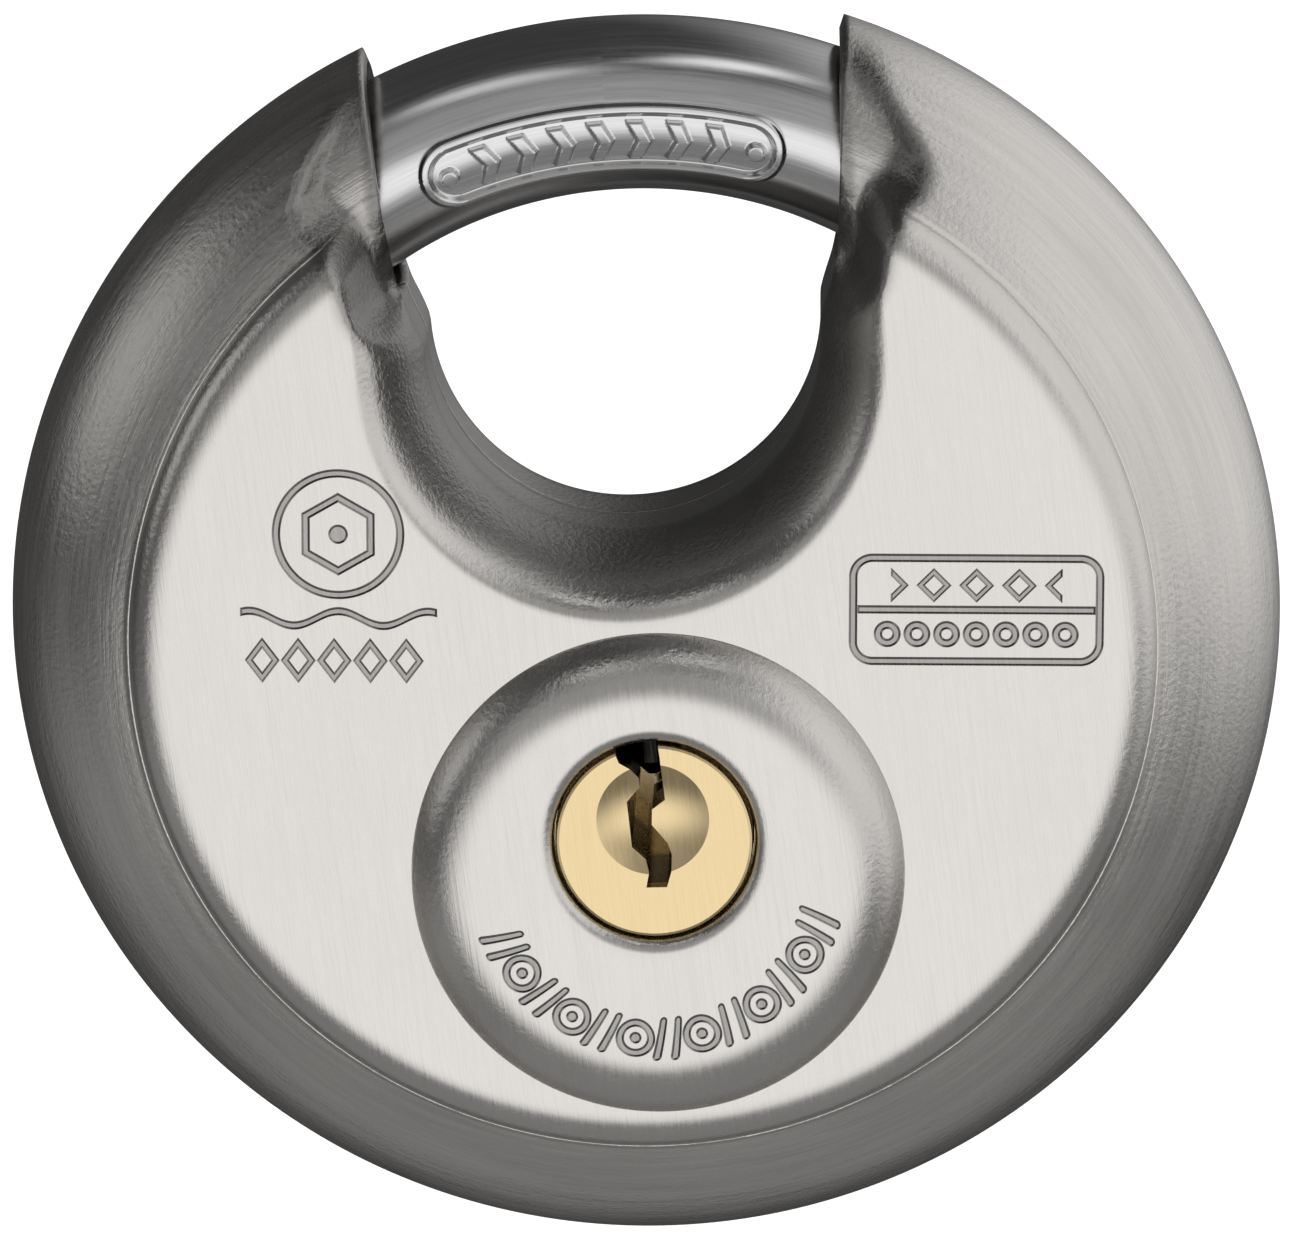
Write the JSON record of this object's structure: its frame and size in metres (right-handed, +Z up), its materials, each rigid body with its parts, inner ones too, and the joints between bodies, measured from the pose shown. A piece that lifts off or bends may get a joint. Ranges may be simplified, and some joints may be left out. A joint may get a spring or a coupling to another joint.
{
  "type": "disc padlock",
  "caption": "Round disc padlock: two welded stainless shells, a curved shackle that turns inside them, a keyhole boss and a pin-tumbler cylinder that drives the shackle through teeth.",
  "frame": {"origin": "underside of the shackle's crown at the middle of the bar's length and width, where the closed lock hangs on a staple or hasp; the middle of the disc is 23.75 mm below it", "axes": "+Z up through the shackle, the keyhole faces -Y, X across the disc, and the disc's axis runs along Y"},
  "size_m": [0.07, 0.025, 0.0682],
  "materials": {
    "case_steel": "satin, brushed in straight lines on the faces and round the rim on the bulge",
    "hardened_steel": "hardened steel with a bright polished plating",
    "zinc_plated_steel": "zinc-plated steel, dull silver",
    "cylinder_brass": "turned bare brass",
    "pin_nickel_silver": "turned nickel silver",
    "spring_steel": "drawn spring wire"
  },
  "bodies": {
    "lock_body": {"front_shell": "case_steel", "rear_shell": "case_steel", "front_core": "zinc_plated_steel", "rear_core": "zinc_plated_steel", "core_rivet_1": "zinc_plated_steel", "core_rivet_2": "zinc_plated_steel", "core_rivet_3": "zinc_plated_steel", "core_rivet_4": "zinc_plated_steel", "stop_block": "hardened_steel", "cylinder_body": "cylinder_brass", "chamber_cover": "cylinder_brass", "drill_guard_ring": "hardened_steel", "pin_spring_1": "spring_steel", "pin_spring_2": "spring_steel", "pin_spring_3": "spring_steel", "pin_spring_4": "spring_steel"},
    "shackle": {"shackle": "hardened_steel"},
    "plug": {"plug": "cylinder_brass", "driver_sector": "zinc_plated_steel", "tail_washer": "zinc_plated_steel", "tail_screw": "zinc_plated_steel"},
    "key_pin_1": {"key_pin_1": "pin_nickel_silver"},
    "driver_pin_1": {"driver_pin_1": "pin_nickel_silver"},
    "key_pin_2": {"key_pin_2": "pin_nickel_silver"},
    "driver_pin_2": {"driver_pin_2": "pin_nickel_silver"},
    "key_pin_3": {"key_pin_3": "pin_nickel_silver"},
    "driver_pin_3": {"driver_pin_3": "pin_nickel_silver"},
    "key_pin_4": {"key_pin_4": "pin_nickel_silver"},
    "driver_pin_4": {"driver_pin_4": "pin_nickel_silver"}
  },
  "joints": [
    {"name": "shackle_swing", "type": "hinge", "parent": "lock_body", "child": "shackle", "pos_m": [0, 0, -0.02375], "axis": [0, 1, 0], "range_deg": [0, 74]},
    {"name": "plug_turn", "type": "hinge", "parent": "lock_body", "child": "plug", "pos_m": [0, 0, -0.03355], "axis": [0, 1, 0], "range_deg": [0, 123.5]},
    {"name": "key_pin_1_drop", "type": "slide", "parent": "plug", "child": "key_pin_1", "axis": [0, 0, -1], "range_m": [0, 0.0019]},
    {"name": "driver_pin_1_lift", "type": "slide", "parent": "lock_body", "child": "driver_pin_1", "axis": [0, 0, 1], "range_m": [0, 0.0014], "stiffness_N_per_m": 50, "springref_m": -0.002, "deforming": ["pin_spring_1"]},
    {"name": "key_pin_2_drop", "type": "slide", "parent": "plug", "child": "key_pin_2", "axis": [0, 0, -1], "range_m": [0, 0.0012]},
    {"name": "driver_pin_2_lift", "type": "slide", "parent": "lock_body", "child": "driver_pin_2", "axis": [0, 0, 1], "range_m": [0, 0.0014], "stiffness_N_per_m": 50, "springref_m": -0.002, "deforming": ["pin_spring_2"]},
    {"name": "key_pin_3_drop", "type": "slide", "parent": "plug", "child": "key_pin_3", "axis": [0, 0, -1], "range_m": [0, 0.0016]},
    {"name": "driver_pin_3_lift", "type": "slide", "parent": "lock_body", "child": "driver_pin_3", "axis": [0, 0, 1], "range_m": [0, 0.0014], "stiffness_N_per_m": 50, "springref_m": -0.002, "deforming": ["pin_spring_3"]},
    {"name": "key_pin_4_drop", "type": "slide", "parent": "plug", "child": "key_pin_4", "axis": [0, 0, -1], "range_m": [0, 0.0009]},
    {"name": "driver_pin_4_lift", "type": "slide", "parent": "lock_body", "child": "driver_pin_4", "axis": [0, 0, 1], "range_m": [0, 0.0014], "stiffness_N_per_m": 50, "springref_m": -0.002, "deforming": ["pin_spring_4"]}
  ],
  "couplings": [
    {"joint": "plug_turn", "follows": "shackle_swing", "ratio": 1.6667}
  ]
}
